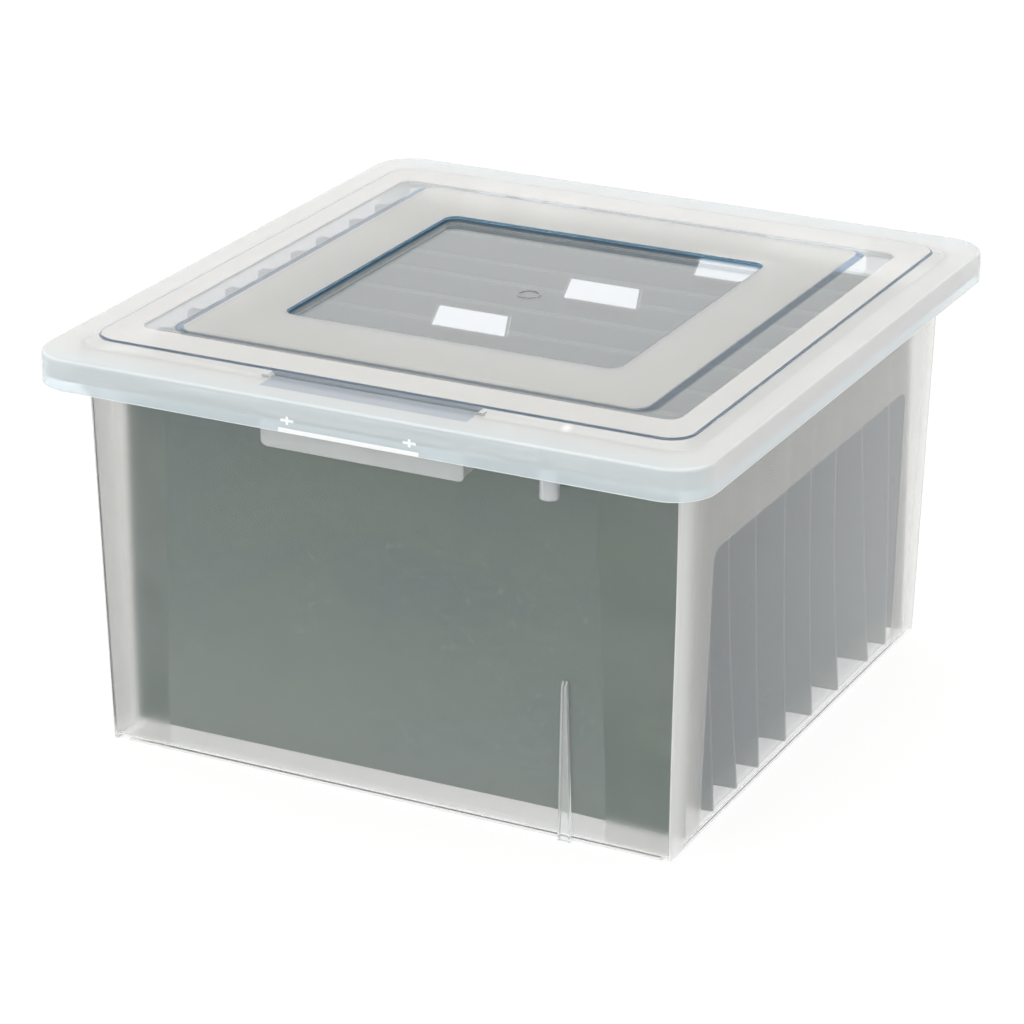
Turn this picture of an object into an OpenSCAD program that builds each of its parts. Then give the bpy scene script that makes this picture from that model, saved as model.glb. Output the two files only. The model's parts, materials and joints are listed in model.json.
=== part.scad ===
// Portable file box: a translucent box with a lift-off lid. Ten legal-size hanging
// folders hang by their hooks on a rail moulded along each side wall.
// Millimetres, Z up, origin at the centre of the base, front of the box towards -Y.
// The moulding is the same at the front and the back, turned half a turn about Z.

/* [Box body] */
// Width of the base, outside
base_w = 382; // [381.5:0.5:384]
// Depth of the base, outside
base_d = 392.8; // [388:0.4:396]
// How far each wall leans out from the base to the ledge
wall_lean = 5.4; // [4.8:0.2:5.6]
// Corner radius at the base
base_r = 8; // [5:1:12]
// Wall thickness
wall_t = 2.2; // [1.8:0.1:2.6]
// Floor thickness
floor_t = 2.5; // [2:0.25:3]
// Height of the ledge that carries the rails
ledge_z = 240; // [239:0.5:240.5]
// Height of the rails that the folders hang on
rail_z = 243; // [242:0.5:243]
// Height of the box without its lid
rim_z = 261.5; // [261:0.5:264]
// Underside of the flange round the rim
flange_z = 249.3; // [248:0.5:251]

/* [Lid] */
// Width of the lid
lid_w = 440; // [439:1:446]
// Depth of the lid
lid_d = 468.6; // [467.8:0.8:474]
// Corner radius of the lid
lid_r = 27; // [24:1:30]
// Lowest edge of the lid's skirt
skirt_z = 243.6; // [241:0.6:246]
// Thickness of the lid
lid_t = 2; // [1.6:0.1:2.2]
// Rounding of the lid's outer top edge
lid_edge_r = 3; // [2:0.5:4]
// Width of the clear window in the lid
window_w = 224.8; // [200:0.8:240]
// Depth of the clear window in the lid
window_d = 222.2; // [200:0.2:240]
// How far the window lies below the frosted ring round it
window_drop = 4.5; // [3.5:0.5:5]

/* [Folders] */
// Width of a folder's card, the legal size
card_w = 374.65; // [370:0.05:375]
// Height of a folder, from its fold to its top edge
card_h = 242; // [236:1:242]
// Thickness of the card
card_t = 0.6; // [0.4:0.1:0.6]
// Length of a hanger rod over its hooks
rod_l = 397.6; // [397:0.2:398]
// Width of an index tab at its foot
tab_w = 54; // [40:1:60]
// Height of an index tab
tab_h = 14; // [10:1:14]
// How far an index tab leans back, in degrees
tab_lean = 38; // [30:1:45]

/* [Hidden] */
$fn = 64;

// Colours
frost = [0.86, 0.88, 0.88, 0.55];
clear_film = [0.85, 0.92, 0.95, 0.4];
card_green = [0.36, 0.43, 0.39];
rod_steel = [0.70, 0.72, 0.73];
label_white = [0.98, 0.98, 0.96];

// Box body
foot_h = 1.5;           // height of the foot ring under the floor
foot_inset = 2.5;       // foot ring set in from the wall
foot_w = 6;             // width of the foot ring
floor_z = foot_h + floor_t;
base_hx = base_w / 2;
base_hy = base_d / 2;
top_hx = base_hx + wall_lean;
top_hy = base_hy + wall_lean;
ledge_t = 2.2;
rim_hx = 203.7;         // half the rim wall's width, outside
rim_hy = 209;           // half the rim wall's depth, outside
rim_r = 16;
flange_t = 2.2;
flange_gap = 1.7;       // between the flange's edge and the lid's skirt
flange_hx = lid_w / 2 - lid_t - flange_gap;
flange_hy = lid_d / 2 - lid_t - flange_gap;
rail_half_l = 190;      // half the length of a side rail

// Grips, under the flange at the front and the back
grip_hx = 67;           // half the grip's width
grip_y = 219;           // outer face of the grip
grip_z = 226.5;         // lowest edge of the grip
grip_side_z = 229.8;    // lowest edge where the grip's cheeks meet the wall
grip_t = 2.2;
cross_x = 40;           // short upright ribs that cross the flange's edge over each grip
cross_w = 2;
cross_h = 6.6;

// Nesting post and rib, to the right of the front grip
post_x = 118;
post_y = 211.5;
post_r = 6;
post_bore_r = 4;
post_z = 224;
rib_x = 123.2;
rib_top_z = 106;
rib_top_w = 3.6;
rib_foot_w = 8.6;
rib_proud = 2.6;        // how far the rib stands out of the wall

// Gussets between the rim wall and the flange
gusset_t = 1.8;
gusset_out = 14;
gusset_x = [91.6, 158.9];
gusset_side_y = -169.5;

// Lid
lid_hx = lid_w / 2;
lid_hy = lid_d / 2;
edge_steps = 4;                         // facets across the rounding of the outer top edge
band_z = rim_z + lid_t;                 // outer band of the lid
slope_in = 6.8;                         // run of the slope from the band up to the panel
slope_rise = 2.8;
slope_hx = 203;
slope_hy = 206.8;
slope_r = 22;
panel_z = band_z + 4;                   // centre panel
panel_hx = 195.7;
panel_hy = 198.7;
panel_r = 16;
ring_rise = 1.2;                        // raised frosted ring on the panel
ring_bevel = 6.5;
ring_z = panel_z + ring_rise;
ring_hx = 160;
ring_hy = 167.5;
ring_r = 12;
window_hx = window_w / 2;
window_hy = window_d / 2;
window_r = 8;
window_z = ring_z - window_drop;
gate_r = 7.6;
gate_t = 1.3;
gate_h = 0.5;
notch_hx = 67;                          // clear notch over the front grip
notch_bevel = 4;
notch_y = [199.5, 217];
bead_hx = 46;                           // snap bead inside the skirt, front and back
bead_t = 1.4;
bead_h = 3;

// Folders, listed from the front of the box to the back
folder_top = [-172, -147, -118.5, -79, -32.5, 9.5, 52, 86, 131, 167.5];
folder_foot = [-170, -129.5, -94.5, -61, -18.5, 24, 67.5, 118.5, 149.5, 178];
folder_bow = [-1, -3, -5, -2, -3, -5, -8, -2, 4, 1];
fold_z = floor_z + 2.5;
card_top_z = fold_z + card_h;
flap_gap = 0.8;         // between the two flaps of a hanging folder, low down
hem_l = 15;             // length of the hem round a rod
hem_flare = 24;         // stretch over which the flaps open to the hems
hem_gap = 1.4;          // between the two hems, and inside each of them
corner_cut_x = 8;       // card cut away round the rod at each end
corner_cut_z = 11;
card_steps = 12;
rod_t = 1.2;
rod_h = 6.2;
rod_top_z = card_top_z - card_t - 0.9;
rod_y = hem_gap + card_t;               // from the folder's middle to a rod's middle
top_reach = 1.5 * hem_gap + 2 * card_t; // from the folder's middle to its outer face, up there
hook_slot = [193.5, 196.9];             // the hook's notch, over the rail
hook_tip_z = ledge_z + 0.6;

// Index tabs: which folder each one is on, and the middle of the tab
tab_folder = [5, 7, 9];
tab_x = [-23, 27, 82];
tab_t = 0.5;
tab_gap = 0.6;
tab_taper = 1.5;        // how far each side draws in towards the top
tab_step = 3;           // from the card's face to the foot of the slope
tab_drop = 0.6;         // how far the foot of the slope lies below the card's top edge
tongue_w = 50;          // tongue that holds the tab, in front of the card
tongue_h = 9;
tongue_t = 0.6;
tongue_up = 0.3;        // how far the tongue reaches up into the tab
tab_teeth = 11;
tooth_w = 2.2;
tooth_h = 1.5;
label_t = 0.3;
label_inset = 1.5;

// ---------- shared shapes ----------

// Block with round upright corners, between two heights. Its sides lean out by grow.
module block(hx, hy, r, z0, z1, grow = 0) {
    h = z1 - z0;
    translate([0, 0, z0]) {
        rotate([90, 0, 90]) linear_extrude(2 * (hx - r), center = true)
            polygon([[-hy, 0], [hy, 0], [hy + grow, h], [-hy - grow, h]]);
        rotate([90, 0, 0]) linear_extrude(2 * (hy - r), center = true)
            polygon([[-hx, 0], [hx, 0], [hx + grow, h], [-hx - grow, h]]);
        for (x = [-1, 1], y = [-1, 1])
            translate([x * (hx - r), y * (hy - r), 0]) cylinder(h, r, r + grow);
    }
}

// Block whose outer top edge is rounded off in small steps, with radius e
module soft_block(hx, hy, r, z0, z1, e) {
    rim = concat([[0, z0]], [for (a = [0 : 90 / edge_steps : 90]) [e * (cos(a) - 1), z1 - e + e * sin(a)]]);
    rotate([90, 0, 90]) linear_extrude(2 * (hx - r), center = true) polygon(both_sides(rim, hy));
    rotate([90, 0, 0]) linear_extrude(2 * (hy - r), center = true) polygon(both_sides(rim, hx));
    for (x = [-1, 1], y = [-1, 1]) translate([x * (hx - r), y * (hy - r), 0])
        rotate_extrude() polygon(concat([[0, z0]], [for (p = rim) [p[0] + r, p[1]]], [[0, z1]]));
}

// Closed outline from one side's profile, given outwards from a half width
function both_sides(profile, half) = concat(
    [for (p = profile) [half + p[0], p[1]]],
    [for (i = [len(profile) - 1 : -1 : 0]) [-half - profile[i][0], profile[i][1]]]
);

// Flat ring between two round-cornered outlines
module band(hx, hy, r, t, z0, z1) {
    difference() {
        block(hx, hy, r, z0, z1);
        block(hx - t, hy - t, r - t, z0 - 1, z1 + 1);
    }
}

// The same thing at the front and at the back, turned about Z
module front_and_back() {
    for (a = [0, 180]) rotate(a) children();
}

// ---------- box body ----------

module box_walls() {
    difference() {
        block(base_hx, base_hy, base_r, foot_h, ledge_z, wall_lean);
        block(base_hx - wall_t, base_hy - wall_t, base_r - wall_t, floor_z, ledge_z + 1,
              wall_lean);
    }
    band(base_hx - foot_inset, base_hy - foot_inset, base_r - 1, foot_w, 0, foot_h + 1);
}

module box_rim() {
    difference() {
        block(rim_hx, rim_hy, rim_r, ledge_z - ledge_t, ledge_z);
        block(top_hx - wall_t, top_hy - wall_t, base_r + wall_lean - wall_t,
              ledge_z - ledge_t - 1, ledge_z + 1);
    }
    band(rim_hx, rim_hy, rim_r, wall_t, ledge_z - ledge_t, rim_z);
    difference() {
        block(flange_hx, flange_hy, lid_r - lid_t - flange_gap, flange_z, flange_z + flange_t);
        block(rim_hx - wall_t / 2, rim_hy - wall_t / 2, rim_r, flange_z - 1,
              flange_z + flange_t + 1);
    }
}

// Upright rail along each side wall, which the hooks sit on
module side_rails() {
    for (x = [-1, 1])
        translate([x * (top_hx - wall_t / 2) - wall_t / 2, -rail_half_l, ledge_z - 1])
            cube([wall_t, 2 * rail_half_l, rail_z - ledge_z + 1]);
}

module grip() {
    translate([-grip_hx, -grip_y, grip_z]) cube([2 * grip_hx, grip_t, flange_z - grip_z + 1]);
    for (x = [-1, 1])
        translate([x * (grip_hx - grip_t / 2) - grip_t / 2, 0, 0]) grip_cheek();
    for (x = [-1, 1]) translate([x * cross_x - cross_w / 2, -flange_hy, flange_z - cross_h / 3])
        cube([cross_w, 3, cross_h]);
}

module grip_cheek() {
    rotate([90, 0, 90]) linear_extrude(grip_t) polygon([
        [-grip_y, grip_z], [-grip_y, flange_z + 1], [-rim_hy + 1, flange_z + 1],
        [-rim_hy + 1, ledge_z - 1], [-top_hy + 1, ledge_z - 1], [-top_hy + 1, grip_side_z]
    ]);
}

module nesting_post() {
    translate([post_x, -post_y, post_z]) cylinder(flange_z - post_z + 1, post_r, post_r);
}

module nesting_post_bore() {
    translate([post_x, -post_y, post_z - 1]) cylinder(flange_z - post_z - 2, post_bore_r, post_bore_r);
}

// Rib that widens towards the base, standing out of the leaning front wall
module nesting_rib() {
    lean_at = wall_lean * (rib_top_z - foot_h) / (ledge_z - foot_h);
    intersection() {
        rotate([90, 0, 0]) linear_extrude(2 * base_hy) polygon([
            [rib_x - rib_foot_w / 2, foot_h], [rib_x + rib_foot_w / 2, foot_h],
            [rib_x + rib_top_w / 2, rib_top_z], [rib_x - rib_top_w / 2, rib_top_z]
        ]);
        translate([rib_x - rib_foot_w, 0, 0]) rotate([90, 0, 90]) linear_extrude(2 * rib_foot_w)
            polygon([
                [-base_hy - rib_proud, foot_h], [-base_hy - lean_at - rib_proud, rib_top_z - 3],
                [-base_hy - lean_at, rib_top_z], [-base_hy + 0.5 - lean_at, rib_top_z],
                [-base_hy + 0.5, foot_h]
            ]);
    }
}

module gusset() {
    rotate([90, 0, 90]) linear_extrude(gusset_t, center = true) polygon([
        [1, rim_z - 0.5], [1, flange_z + 1], [-gusset_out, flange_z + 1],
        [-gusset_out, flange_z + flange_t], [0, rim_z - 0.5]
    ]);
}

module box_body() {
    color(frost) difference() {
        union() {
            box_walls();
            box_rim();
            side_rails();
            front_and_back() {
                grip();
                nesting_post();
                nesting_rib();
                for (x = gusset_x) translate([x, -rim_hy, 0]) gusset();
                translate([rim_hx, gusset_side_y, 0]) rotate(90) gusset();
            }
        }
        front_and_back() nesting_post_bore();
    }
}

// ---------- lid ----------

module lid_outside() {
    soft_block(lid_hx, lid_hy, lid_r, skirt_z, band_z, lid_edge_r);
    block(slope_hx, slope_hy, slope_r, band_z - 0.5, band_z + slope_rise, -slope_in);
    block(panel_hx, panel_hy, panel_r, band_z, panel_z);
    block(ring_hx, ring_hy, ring_r, panel_z - 0.5, ring_z, -ring_bevel);
}

module lid_inside() {
    block(lid_hx - lid_t, lid_hy - lid_t, lid_r - lid_t, skirt_z - 1, band_z - lid_t);
    block(slope_hx - lid_t, slope_hy - lid_t, slope_r - lid_t, band_z - lid_t - 0.5,
          band_z - lid_t + slope_rise, -slope_in);
    block(panel_hx - lid_t, panel_hy - lid_t, panel_r - lid_t, band_z - lid_t, panel_z - lid_t);
    block(ring_hx - lid_t, ring_hy - lid_t, ring_r - lid_t, panel_z - lid_t - 0.5,
          ring_z - lid_t, -ring_bevel);
}

// The tray whose floor is the clear window
module window_tray() {
    block(window_hx + lid_t, window_hy + lid_t, window_r + lid_t, window_z - lid_t, ring_z - 0.5);
}

// Notch in the lid's slope over the front grip, with a bevel at each end
module notch_cut() {
    rotate([90, 0, 0]) translate([0, 0, notch_y[0]]) linear_extrude(notch_y[1] - notch_y[0])
        polygon([
            [-notch_hx, band_z], [notch_hx, band_z], [notch_hx + notch_bevel, band_z + notch_bevel],
            [-notch_hx - notch_bevel, band_z + notch_bevel]
        ]);
}

// The lid is left solid round the notch, so that its floor and walls stay whole
module notch_pad() {
    half = notch_hx + notch_bevel + lid_t;
    translate([-half, -slope_hy, band_z - lid_t])
        cube([2 * half, slope_hy - notch_y[0] + lid_t, ring_z - band_z + lid_t]);
}

module snap_bead() {
    translate([-bead_hx, -lid_hy + lid_t / 2, skirt_z]) cube([2 * bead_hx, lid_t / 2 + bead_t, bead_h]);
}

module lid() {
    color(frost) {
        difference() {
            union() {
                difference() {
                    lid_outside();
                    difference() {
                        lid_inside();
                        notch_pad();
                    }
                }
                window_tray();
                front_and_back() snap_bead();
            }
            block(window_hx, window_hy, window_r, window_z, ring_z + 1);
            notch_cut();
        }
        translate([0, 0, window_z - 0.1]) difference() {
            cylinder(gate_h + 0.1, gate_r, gate_r);
            translate([0, 0, -1]) cylinder(gate_h + 2, gate_r - gate_t, gate_r - gate_t);
        }
    }
}

// ---------- hanging folders ----------

// Middle of folder n's card at height z. The stretch round the rods hangs upright.
function card_y(n, z) =
    let (u = min(1, (z - fold_z) / (card_h - hem_l)))
    folder_foot[n] + (folder_top[n] - folder_foot[n]) * u + folder_bow[n] * sin(180 * u);

// Distance from the folder's middle to the inner face of a flap
function flap_y(z) =
    let (v = (z - (card_top_z - hem_l - hem_flare)) / hem_flare)
    flap_gap / 2 + (top_reach - card_t - flap_gap / 2) * min(1, max(0, v));

// One side of the card's section: up the outer face, round the hem, down the inner face
function side_outline(n, side) =
    let (
        heights = [for (i = [0 : card_steps]) fold_z + (card_h - hem_l - hem_flare) * i / card_steps],
        y = folder_top[n],
        inner = hem_gap / 2
    ) concat(
        [for (z = heights) [card_y(n, z) + side * (flap_y(z) + card_t), z]],
        [
            [y + side * top_reach, card_top_z - hem_l],
            [y + side * top_reach, card_top_z],
            [y + side * inner, card_top_z],
            [y + side * inner, card_top_z - hem_l],
            [y + side * (inner + card_t), card_top_z - hem_l],
            [y + side * (inner + card_t), card_top_z - card_t],
            [y + side * (top_reach - card_t), card_top_z - card_t],
            [y + side * (top_reach - card_t), card_top_z - hem_l]
        ],
        [for (i = [card_steps : -1 : 1]) [card_y(n, heights[i]) + side * flap_y(heights[i]), heights[i]]],
        [[folder_foot[n] + side * flap_gap / 2, fold_z + card_t]]
    );

function reversed(list) = [for (i = [len(list) - 1 : -1 : 0]) list[i]];

module card(n) {
    color(card_green) difference() {
        rotate([90, 0, 90]) linear_extrude(card_w, center = true)
            polygon(concat(side_outline(n, -1), reversed(side_outline(n, 1))));
        for (x = [-1, 1])
            translate([x * card_w / 2 - corner_cut_x, folder_top[n] - 10, card_top_z - corner_cut_z])
                cube([2 * corner_cut_x, 20, corner_cut_z + 1]);
    }
}

// Flat hanger bar with a hook at each end
module rod(n, side) {
    z1 = rod_top_z;
    z0 = z1 - rod_h;
    tip = rod_l / 2;
    half = [
        [hook_slot[0], z0], [hook_slot[0], rail_z], [hook_slot[1], rail_z],
        [hook_slot[1], hook_tip_z], [tip, hook_tip_z], [tip, z1 - 1], [tip - 1, z1]
    ];
    color(rod_steel) translate([0, folder_top[n] + side * rod_y, 0])
        rotate([90, 0, 0]) linear_extrude(rod_t, center = true)
            polygon(concat(half, [for (p = reversed(half)) [-p[0], p[1]]]));
}

// ---------- index tabs ----------

// Front face of the card that tab k is on, at the top
function tab_face(k) = folder_top[tab_folder[k] - 1] - top_reach;

// Places a tab's parts on its folder: x across, y through the tab, z up its slope
module on_folder(k) {
    translate([tab_x[k], tab_face(k) - tab_step, card_top_z - tab_drop])
        rotate([-tab_lean, 0, 0]) children();
}

module tab_plate(y0, t, w, h, taper) {
    translate([0, y0 + t, 0]) rotate([90, 0, 0]) linear_extrude(t)
        polygon([[-w / 2, 0], [w / 2, 0], [w / 2 - taper, h], [-w / 2 + taper, h]]);
}

module tab(k) {
    thick = 2 * tab_t + tab_gap;
    color(clear_film) {
        on_folder(k) {
            difference() {
                tab_plate(0, thick, tab_w, tab_h, tab_taper);
                translate([0, 0, -1]) tab_plate(tab_t, tab_gap, tab_w - 2 * label_inset,
                                                tab_h - tab_t + 1, tab_taper);
            }
            for (i = [0 : tab_teeth - 1])
                translate([(i - (tab_teeth - 1) / 2) * tab_w / (tab_teeth + 1) - tooth_w / 2, 0,
                           -tooth_h])
                    cube([tooth_w, tab_t, tooth_h + 1]);
        }
        translate([tab_x[k] - tongue_w / 2, tab_face(k) - tongue_t, card_top_z - tongue_h])
            cube([tongue_w, tongue_t, tongue_h + tongue_up]);
    }
}

module label(k) {
    color(label_white) on_folder(k)
        tab_plate(tab_t + (tab_gap - label_t) / 2, label_t, tab_w - 2 * label_inset - 1,
                  tab_h - tab_t - 0.5, tab_taper);
}

box_body();
lid();
card(0);  // folder_1_card
rod(0, -1);  // folder_1_front_rod
rod(0, 1);  // folder_1_back_rod
card(1);  // folder_2_card
rod(1, -1);  // folder_2_front_rod
rod(1, 1);  // folder_2_back_rod
card(2);  // folder_3_card
rod(2, -1);  // folder_3_front_rod
rod(2, 1);  // folder_3_back_rod
card(3);  // folder_4_card
rod(3, -1);  // folder_4_front_rod
rod(3, 1);  // folder_4_back_rod
card(4);  // folder_5_card
rod(4, -1);  // folder_5_front_rod
rod(4, 1);  // folder_5_back_rod
tab(0);  // tab_1
label(0);  // label_1
card(5);  // folder_6_card
rod(5, -1);  // folder_6_front_rod
rod(5, 1);  // folder_6_back_rod
card(6);  // folder_7_card
rod(6, -1);  // folder_7_front_rod
rod(6, 1);  // folder_7_back_rod
tab(1);  // tab_2
label(1);  // label_2
card(7);  // folder_8_card
rod(7, -1);  // folder_8_front_rod
rod(7, 1);  // folder_8_back_rod
card(8);  // folder_9_card
rod(8, -1);  // folder_9_front_rod
rod(8, 1);  // folder_9_back_rod
tab(2);  // tab_3
label(2);  // label_3
card(9);  // folder_10_card
rod(9, -1);  // folder_10_front_rod
rod(9, 1);  // folder_10_back_rod
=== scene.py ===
"""Looks of the portable file box: a translucent box and lid round ten hanging folders.

Lengths are in millimetres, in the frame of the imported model: the front of the box is towards
-Y, and Z is up. mesh_object() turns them into metres. Shader nodes work in metres too, and
Graph.span() takes its two limits in millimetres.
"""

import json
import math

import bmesh
import bpy
from mathutils import Matrix, Vector


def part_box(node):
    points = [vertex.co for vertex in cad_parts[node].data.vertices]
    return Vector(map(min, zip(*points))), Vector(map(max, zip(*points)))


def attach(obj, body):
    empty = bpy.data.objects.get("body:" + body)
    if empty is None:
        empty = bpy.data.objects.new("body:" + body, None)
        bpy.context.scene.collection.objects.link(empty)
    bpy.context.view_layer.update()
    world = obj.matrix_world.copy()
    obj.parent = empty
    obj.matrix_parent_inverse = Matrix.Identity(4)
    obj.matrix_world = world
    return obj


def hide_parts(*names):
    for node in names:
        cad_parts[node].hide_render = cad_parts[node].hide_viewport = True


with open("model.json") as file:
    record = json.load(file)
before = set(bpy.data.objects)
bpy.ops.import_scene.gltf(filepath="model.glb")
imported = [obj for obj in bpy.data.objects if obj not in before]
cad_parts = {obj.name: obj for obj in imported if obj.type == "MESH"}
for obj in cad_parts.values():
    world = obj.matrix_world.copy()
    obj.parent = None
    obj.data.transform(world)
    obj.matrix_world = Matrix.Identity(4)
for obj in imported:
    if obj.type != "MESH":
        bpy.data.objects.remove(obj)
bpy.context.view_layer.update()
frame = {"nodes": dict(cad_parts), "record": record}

MM = 0.001
CORNER_STEPS = 10       # facets round each upright corner
EASE_STEPS = 4          # facets across each eased edge
DISC_STEPS = 40         # facets round a disc
GATE_STEPS = 48         # facets round the gate ring
BEVEL_STEPS = 2         # facets across each bevelled edge
BEVEL_ANGLE = 40        # degrees: sharper edges are bevelled
SMOOTH_ANGLE = 35       # degrees: flatter edges are shaded smooth
SHARP_R = 0.3           # smallest corner radius
OVERLAP = 1.0           # how far an added part runs into the one it joins

# ---------- sizes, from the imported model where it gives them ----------


def box_mm(node):
    low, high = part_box(node)
    return [v / MM for v in low], [v / MM for v in high]


body_high = box_mm("box_body")[1]
lid_low, lid_high = box_mm("lid")
CARD_HX = box_mm("folder_1_card")[1][0]

# Lid. A rounded rectangle is its half width, half depth and corner radius.
LID_T = 2.0
LID = (lid_high[0], lid_high[1], 27.0)
SKIRT_Z = lid_low[2]
RING_Z = lid_high[2]
BAND_Z = body_high[2] + LID_T
PANEL_Z = BAND_Z + 4.0
SLOPE = (203.0, 206.8, 22.0)            # foot of the slope up to the panel
SLOPE_IN, SLOPE_UP = 6.8, 2.8
PANEL = (195.7, 198.7, 16.0)
RING = (160.0, 167.5, 12.0)             # raised frosted ring, at its foot
RING_BEVEL = 6.5
RING_EDGE = (5.0, 2.4)                  # polished outer part of that bevel, at the sides and ends
PAINTED_SPOT, PAINTED_SPOT_R = (124.5, 203.5), 3.0      # painted bright spot on the slope up to the panel, where the post shows through
COOL_SHADE_Z = 250.8                          # below it the skirt has more painted cool shade
WINDOW = (112.4, 111.1, 8.0)
WINDOW_Z = RING_Z - 4.5
WINDOW_CAP = 7.8                        # the window's flat faces end this far inside its outline
POLISHED = (178.3, 171.5, 9.0)          # polished rectangle that the ring stands on
NOTCH_HX, NOTCH_BEVEL, NOTCH_OVER = 67.0, 4.0, 2.0
NOTCH_Y = (199.5, 217.0)
GATE_R, GATE_T, GATE_H, GATE_DEPTH = 7.6, 1.3, 0.5, 0.2
BEAD_HX, BEAD_T, BEAD_H = 46.0, 1.4, 3.0

# Body
WALL_T = 2.2
FLOOR_Z, FOOT_H = 4.0, 1.5
BASE = (191.0, 196.4, 2.5)
FOOT_INNER = (BASE[0] - 8.5, BASE[1] - 8.5, 2.0)
LEAN = 5.4                              # how much further out the walls are at the top
WALL_TOP = (BASE[0] + LEAN, BASE[1] + LEAN, BASE[2])
LEDGE_Z, RAIL_Z, RIM_Z = 240.0, 243.0, body_high[2]
RIM = (203.7, 209.0, 16.0)
FLANGE = (body_high[0], body_high[1], 23.3)
FLANGE_Z, FLANGE_T = 249.3, 2.2
RAIL_HALF_L = 190.0
GRIP_HX, GRIP_Y, GRIP_Z, GRIP_SIDE_Z, GRIP_R = 67.0, 219.0, 226.5, 229.8, 4.0
CROSS_X, CROSS_Z, CROSS_W, CROSS_H, CROSS_ARM = 40.0, 251.4, 1.6, 4.8, 4.2
CROSS_DEPTH = 3.0
POST = (118.0, -211.5)
POST_R, POST_BORE_R, POST_Z = 6.0, 4.0, 224.0
RIB_X, RIB_TOP_Z, RIB_TOP_W, RIB_FOOT_W, RIB_PROUD = 123.2, 106.0, 3.6, 8.6, 2.6
RIB_FOOT_Z, RIB_END_Z = FOOT_H + 0.3, RIB_TOP_Z - 3     # between them the rib is at full depth
RIB_FOOT_HALF, RIB_CREST_HALF = 0.8, 0.7                # of each ridge, at the wall and outside
GUSSET_T, GUSSET_OUT, GUSSET_Z = 1.8, 14.0, RIM_Z - 0.7
GUSSET_X, GUSSET_SIDE_Y = (91.6, 158.9), -169.5

# Polished panels of the body: half width at the foot and at the top, and their heights
FRONT_PANEL = (149.0, 143.0, 10.0, 237.0)
SIDE_PANEL = (154.0, 152.0, 4.0, 184.0)
SIDE_PANEL_R = 9.0
FRONT_FROM_Y, SIDE_FROM_X = 185.0, 180.0    # outside these are the front, back and side walls

# ---------- meshes ----------


def mesh_object(name, points, faces):
    mesh = bpy.data.meshes.new(name)
    mesh.from_pydata([Vector(p) * MM for p in points], [], faces)
    obj = bpy.data.objects.new(name, mesh)
    bpy.context.scene.collection.objects.link(obj)
    work = bmesh.new()
    work.from_mesh(mesh)
    bmesh.ops.recalc_face_normals(work, faces=work.faces)
    work.to_mesh(mesh)
    work.free()
    return obj


def outline(hx, hy, r, z):
    """Rectangle with round corners at height z, counterclockwise from above."""
    points = []
    for k, (sx, sy) in enumerate(((1, 1), (-1, 1), (-1, -1), (1, -1))):
        for i in range(CORNER_STEPS + 1):
            a = math.radians(90 * (k + i / CORNER_STEPS))
            points.append((sx * (hx - r) + r * math.cos(a), sy * (hy - r) + r * math.sin(a), z))
    return points


def eased(profile):
    """Profile of (half width, half depth, radius, z, ease), each corner rounded by its ease."""
    result = []
    for i, (*p, ease) in enumerate(profile):
        if not ease:
            result.append(p)
            continue
        ends = []
        for q in (profile[i - 1][:4], profile[(i + 1) % len(profile)][:4]):
            rise = q[3] - p[3]
            reach = max(math.hypot(q[0] - p[0], rise), math.hypot(q[1] - p[1], rise))
            t = min(ease / reach, 0.5)
            ends.append([u + (v - u) * t for u, v in zip(p, q)])
        for k in range(EASE_STEPS + 1):
            t = k / EASE_STEPS
            weights = ((1 - t) ** 2, 2 * t * (1 - t), t ** 2)
            result.append([sum(w * v for w, v in zip(weights, three))
                           for three in zip(ends[0], p, ends[1])])
    return result


def loft(name, profile):
    """Closed solid through the outlines of a profile, capped at both ends."""
    rings = [outline(*p) for p in eased(profile)]
    n = len(rings[0])
    faces = [
        (i * n + j, i * n + (j + 1) % n, (i + 1) * n + (j + 1) % n, (i + 1) * n + j)
        for i in range(len(rings) - 1)
        for j in range(n)
    ]
    faces += [tuple(range(n)), tuple(range((len(rings) - 1) * n, len(rings) * n))]
    return mesh_object(name, [p for ring in rings for p in ring], faces)


def prism(name, section, depth, place):
    """Closed solid: a section of (a, b) points swept from 0 to depth, each point put in place."""
    n = len(section)
    points = [place(a, b, d) for d in (0, depth) for a, b in section]
    faces = [(i, (i + 1) % n, n + (i + 1) % n, n + i) for i in range(n)]
    faces += [tuple(range(n)), tuple(range(n, 2 * n))]
    return mesh_object(name, points, faces)


def block(name, low, high):
    (x0, y0, z0), (x1, y1, z1) = low, high
    section = [(x0, z0), (x1, z0), (x1, z1), (x0, z1)]
    return prism(name, section, y1 - y0, lambda a, b, d: (a, y0 + d, b))


def disc(name, centre, r, z0, z1):
    turn = [math.radians(360 * i / DISC_STEPS) for i in range(DISC_STEPS)]
    section = [(centre[0] + r * math.cos(a), centre[1] + r * math.sin(a)) for a in turn]
    return prism(name, section, z1 - z0, lambda a, b, d: (a, b, z0 + d))


def bevel(obj, width):
    work = bmesh.new()
    work.from_mesh(obj.data)
    sharp = math.radians(BEVEL_ANGLE)
    edges = [e for e in work.edges if len(e.link_faces) == 2 and e.calc_face_angle() > sharp]
    bmesh.ops.bevel(work, geom=edges, offset=width * MM, segments=BEVEL_STEPS, profile=0.5,
                    affect="EDGES", clamp_overlap=True)
    work.to_mesh(obj.data)
    work.free()
    return obj


def half_turn(obj):
    """A copy turned half a turn about Z: the moulding is the same at the front and the back."""
    copy = obj.copy()
    copy.data = obj.data.copy()
    copy.data.transform(Matrix.Rotation(math.pi, 4, "Z"))
    bpy.context.scene.collection.objects.link(copy)
    return copy


def join(objs):
    bpy.ops.object.select_all(action="DESELECT")
    for o in objs:
        o.select_set(True)
    bpy.context.view_layer.objects.active = objs[0]
    bpy.ops.object.join()
    return objs[0]


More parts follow.
